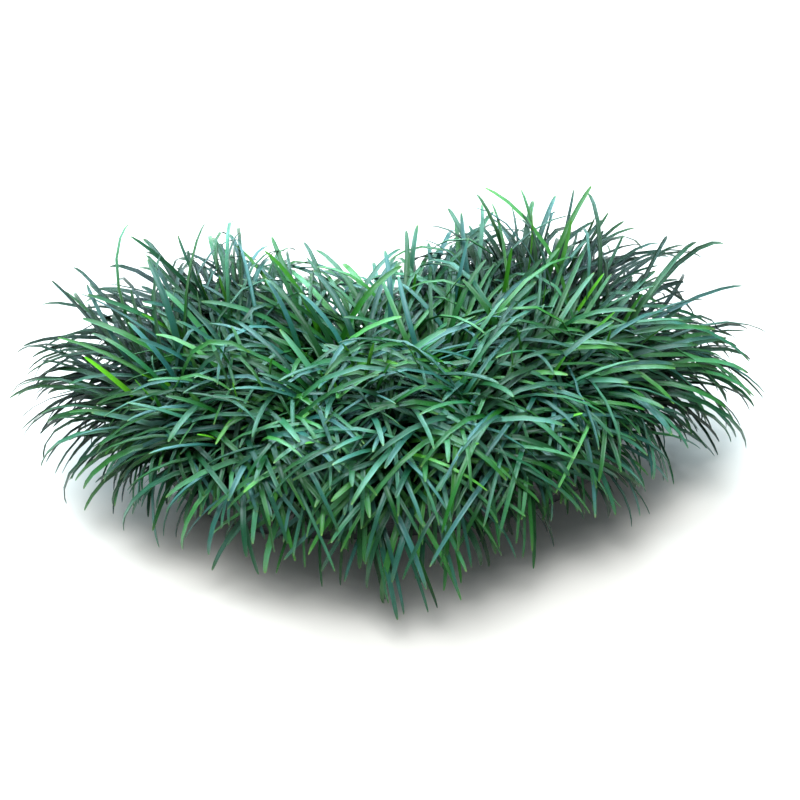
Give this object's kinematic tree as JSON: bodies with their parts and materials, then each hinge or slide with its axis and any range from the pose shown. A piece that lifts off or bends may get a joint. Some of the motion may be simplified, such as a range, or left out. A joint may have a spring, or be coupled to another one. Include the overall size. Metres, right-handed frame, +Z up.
{
  "type": "potted dwarf mondo grass",
  "caption": "Low oval pot filled with soil, from which a dense spreading mound of arching strap-leaved grass tufts grows out over the rim.",
  "frame": {"origin": "middle of the pot's flat underside", "axes": "+X along the pot's length, +Z up; the side that is seen first faces -Y"},
  "size_m": [0.3217, 0.2076, 0.1107],
  "materials": {
    "pot": "matte",
    "soil": "matte",
    "leaf": "satin"
  },
  "bodies": {
    "root": {"pot": "pot", "soil": "soil", "tuft_01": "leaf", "tuft_02": "leaf", "tuft_03": "leaf", "tuft_04": "leaf", "tuft_05": "leaf", "tuft_06": "leaf", "tuft_07": "leaf", "tuft_08": "leaf", "tuft_09": "leaf", "tuft_10": "leaf", "tuft_11": "leaf", "tuft_12": "leaf", "tuft_13": "leaf", "tuft_14": "leaf", "tuft_15": "leaf", "tuft_16": "leaf", "tuft_17": "leaf", "tuft_18": "leaf", "tuft_19": "leaf", "tuft_20": "leaf", "tuft_21": "leaf", "tuft_22": "leaf"}
  },
  "joints": []
}
